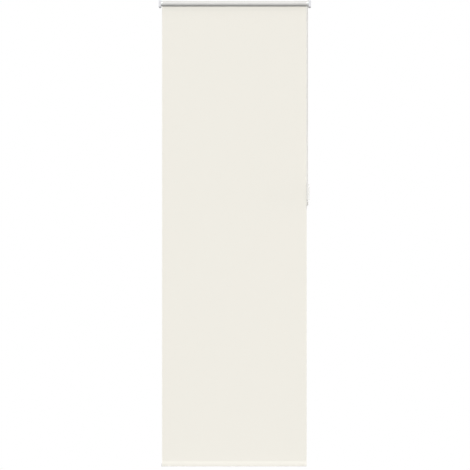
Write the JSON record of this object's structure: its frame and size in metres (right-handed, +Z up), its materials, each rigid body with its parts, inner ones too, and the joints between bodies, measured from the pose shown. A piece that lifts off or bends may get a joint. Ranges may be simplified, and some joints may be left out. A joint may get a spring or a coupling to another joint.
{
  "type": "roller blind",
  "caption": "Wall-mounted blackout roller blind, fully lowered, with an exposed roll, a bead chain drive and its holder, and a weighted hem.",
  "frame": {"origin": "centre of the four wall screw holes, on the wall plane, level with the roller's axis", "axes": "+X to the right seen from the room, along the roller; +Y into the wall; +Z up"},
  "size_m": [0.75, 0.048, 2.3],
  "materials": {
    "cloth": "matte",
    "cloth_reverse": "matte",
    "white_plastic": "satin",
    "chain_plastic": "satin",
    "holder_plastic": "satin",
    "bracket_paint": "satin",
    "spring_steel": "satin",
    "tube_aluminium": "satin",
    "bar_aluminium": "satin"
  },
  "bodies": {
    "head": {"left_bracket": "bracket_paint", "right_bracket": "bracket_paint", "left_cover": "white_plastic", "right_cover": "white_plastic", "clutch_hub": "white_plastic", "hub_clip": "spring_steel", "chain_guard": "white_plastic", "chain_holder": "holder_plastic", "bead_chain": "chain_plastic"},
    "roller": {"roller_tube": "tube_aluminium", "drive_wheel": "white_plastic", "drive_spool": "white_plastic", "wrap_springs": "spring_steel", "idle_plug": "white_plastic", "idle_plug_cap": "white_plastic", "idle_pin_spring": "spring_steel", "fabric_roll": "cloth_reverse"},
    "idle_pin": {"idle_pin": "spring_steel"},
    "hem": {"fabric_panel": "cloth", "fabric_hem": "cloth", "bottom_bar": "bar_aluminium", "left_bar_cap": "white_plastic", "right_bar_cap": "white_plastic"}
  },
  "joints": [
    {"name": "hem_lift", "type": "slide", "parent": "head", "child": "hem", "axis": [0, 0, 1], "range_m": [0, 2.2], "deforming": ["fabric_panel"]},
    {"name": "roller_turn", "type": "hinge", "parent": "head", "child": "roller", "pos_m": [0, -0.028, 0], "axis": [1, 0, 0], "range_deg": [0, 6842], "deforming": ["bead_chain"]},
    {"name": "idle_pin_press", "type": "slide", "parent": "roller", "child": "idle_pin", "axis": [1, 0, 0], "range_m": [0, 0.0042], "stiffness_N_per_m": 1200, "springref_m": -0.005, "deforming": ["idle_pin_spring"]}
  ],
  "couplings": [
    {"joint": "roller_turn", "follows": "hem_lift", "rad_per_m": 54.264}
  ]
}
